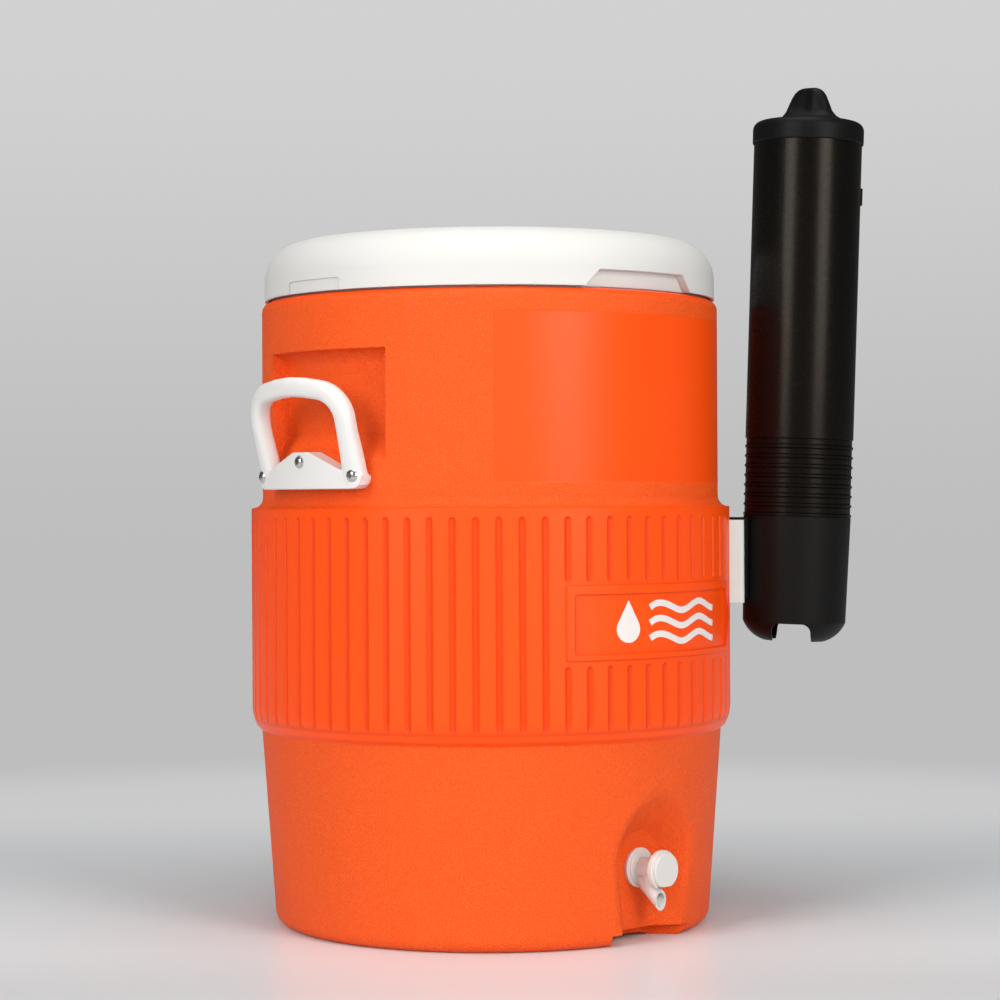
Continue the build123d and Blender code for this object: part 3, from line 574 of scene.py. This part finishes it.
def spring():
    """Copy of the return spring, fixed to the cooler body in place of the CAD spring."""
    coil = bpy.data.objects.new("spigot_spring_coil", nodes["spigot_spring"].data.copy())
    scene.collection.objects.link(coil)
    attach(coil, "cooler_body")
    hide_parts("spigot_spring")
    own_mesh(coil)


spring()


# ---------------------------------------------------------------- studio
def stage_object(name, mesh, material):
    ob = bpy.data.objects.new(name, mesh)
    scene.collection.objects.link(ob)
    mesh.materials.append(material)
    return ob


def floor_material():
    """Glossy pale floor round the object that turns into the wall's even grey further out."""
    m, tree, shader, place = new_material("studio_floor")
    length = tree.nodes.new("ShaderNodeVectorMath")
    length.operation = "LENGTH"
    tree.links.new(place, length.inputs[0])
    far = smooth_step(tree, length.outputs["Value"], 1.02, 1.45)
    towards = tree.nodes.new("ShaderNodeVectorMath")
    towards.operation = "DOT_PRODUCT"
    tree.links.new(place, towards.inputs[0])
    towards.inputs[1].default_value = to_camera
    front_shade_mask = smooth_step(tree, towards.outputs["Value"], 0.12, 0.34)
    behind = math_node(tree, "MULTIPLY", smooth_step(tree, towards.outputs["Value"], -0.15, -0.75), 0.75)
    cloud = noise(tree, place, 3.0)
    tone = mix_colour(tree, cloud, FLOOR_TONE, tuple(v * 0.97 for v in FLOOR_TONE))
    # Painted shade: the floor towards the camera is painted darker.
    front_floor_shade = tuple(v * 0.82 for v in FLOOR_TONE)
    tree.links.new(mix_colour(tree, front_shade_mask, tone, front_floor_shade), shader.inputs["Base Color"])
    shader.inputs["Roughness"].default_value = 0.34
    shader.inputs["Specular IOR Level"].default_value = 0.45
    glow = tree.nodes.new("ShaderNodeEmission")
    glow.inputs["Color"].default_value = (WALL_LOW, WALL_LOW, WALL_LOW, 1.0)
    haze = tree.nodes.new("ShaderNodeEmission")
    haze.inputs["Color"].default_value = (0.66, 0.655, 0.66, 1.0)
    lifted = tree.nodes.new("ShaderNodeMixShader")
    tree.links.new(behind, lifted.inputs[0])
    tree.links.new(shader.outputs[0], lifted.inputs[1])
    tree.links.new(haze.outputs[0], lifted.inputs[2])
    blend = tree.nodes.new("ShaderNodeMixShader")
    tree.links.new(far, blend.inputs[0])
    tree.links.new(lifted.outputs[0], blend.inputs[1])
    tree.links.new(glow.outputs[0], blend.inputs[2])
    tree.links.new(blend.outputs[0], tree.nodes["Material Output"].inputs["Surface"])
    return m


def wall_material():
    """Grey studio wall, lighter towards the top."""
    m, tree, shader, place = new_material("studio_wall")
    axes = tree.nodes.new("ShaderNodeSeparateXYZ")
    tree.links.new(place, axes.inputs[0])
    up = smooth_step(tree, axes.outputs["Z"], 0.1, 1.9)
    colour = mix_colour(tree, up, (WALL_LOW, WALL_LOW, WALL_LOW), (0.640, 0.640, 0.640))
    glow = tree.nodes.new("ShaderNodeEmission")
    tree.links.new(colour, glow.inputs["Color"])
    tree.links.new(glow.outputs[0], tree.nodes["Material Output"].inputs["Surface"])
    return m


WALL_LOW = 0.515
FLOOR_TONE = (0.83, 0.875, 0.890)
bm = bmesh.new()
bmesh.ops.create_circle(bm, cap_ends=True, segments=96, radius=6.0)
floor_mesh = bpy.data.meshes.new("studio_floor")
bm.to_mesh(floor_mesh)
bm.free()
stage_object("studio_floor", floor_mesh, floor_material())

bm = bmesh.new()
bmesh.ops.create_cone(bm, cap_ends=False, segments=96, radius1=5.9, radius2=5.9, depth=5.0)
bmesh.ops.translate(bm, verts=bm.verts, vec=(0, 0, 2.5))
wall_mesh = bpy.data.meshes.new("studio_wall")
bm.to_mesh(wall_mesh)
bm.free()
wall = stage_object("studio_wall", wall_mesh, wall_material())
wall.visible_diffuse = False
wall.visible_glossy = False
wall.visible_shadow = False

# Soft fill from all round, dimmer in reflections.
world = bpy.data.worlds.new("studio_world")
scene.world = world
world.use_nodes = True
sky = world.node_tree
background = sky.nodes["Background"]
background.inputs["Color"].default_value = (0.94, 0.96, 1.0, 1.0)
rays = sky.nodes.new("ShaderNodeLightPath")
sky.links.new(mix_value(sky, rays.outputs["Is Glossy Ray"], 0.24, 0.10), background.inputs["Strength"])


def softbox(name, place, target, width, height, power, colour=(1.0, 1.0, 1.0)):
    lamp = bpy.data.lights.new(name, "AREA")
    lamp.shape = "RECTANGLE"
    lamp.size = width
    lamp.size_y = height
    lamp.energy = power
    lamp.color = colour
    ob = bpy.data.objects.new(name, lamp)
    scene.collection.objects.link(ob)
    ob.location = place
    ob.rotation_mode = "QUATERNION"
    ob.rotation_quaternion = (Vector(target) - Vector(place)).to_track_quat("-Z", "Y")
    ob.visible_camera = False
    return ob


aim = (0.0, 0.0, 0.30)
left = to_camera * 2.0 - to_right * 1.55 + Vector((0, 0, 1.35))
right = to_camera * 2.0 + to_right * 1.5 + Vector((0, 0, 1.25))
softbox("light_left", left, aim, 1.05, 1.6, 38.0, (1.0, 0.985, 0.965))
softbox("light_right", right, aim, 1.00, 1.6, 36.0, (1.0, 0.975, 0.94))
low_front = to_camera * 2.4 + Vector((0, 0, 0.60))
front = softbox("light_front", low_front, (0.0, 0.0, 0.20), 1.2, 0.8, 9.0)
front.visible_glossy = False
softbox("light_top", to_camera * 0.3 + Vector((0, 0, 2.4)), aim, 1.5, 1.5, 22.0)

# Lens, its place as distance, sideways shift and height, and its roll.
LENS_MM = 93.1
CAMERA_DISTANCE = 2.147
CAMERA_SHIFT = 0.0079
CAMERA_HEIGHT = 0.3463
CAMERA_ROLL = math.radians(-0.30)
camera_data = bpy.data.cameras.new("camera")
camera_data.lens = LENS_MM
camera_data.sensor_width = 36.0
camera_data.clip_start = 0.05
camera_data.clip_end = 40.0
camera = bpy.data.objects.new("camera", camera_data)
scene.collection.objects.link(camera)
camera.location = to_camera * CAMERA_DISTANCE + to_right * CAMERA_SHIFT + Vector((0, 0, CAMERA_HEIGHT))
camera.rotation_mode = "QUATERNION"
camera.rotation_quaternion = (-to_camera).to_track_quat("-Z", "Y") @ Quaternion((0, 0, 1), CAMERA_ROLL)
scene.camera = camera

scene.view_settings.view_transform = "Standard"
scene.view_settings.look = "None"
scene.view_settings.exposure = 0.0
scene.view_settings.gamma = 1.0
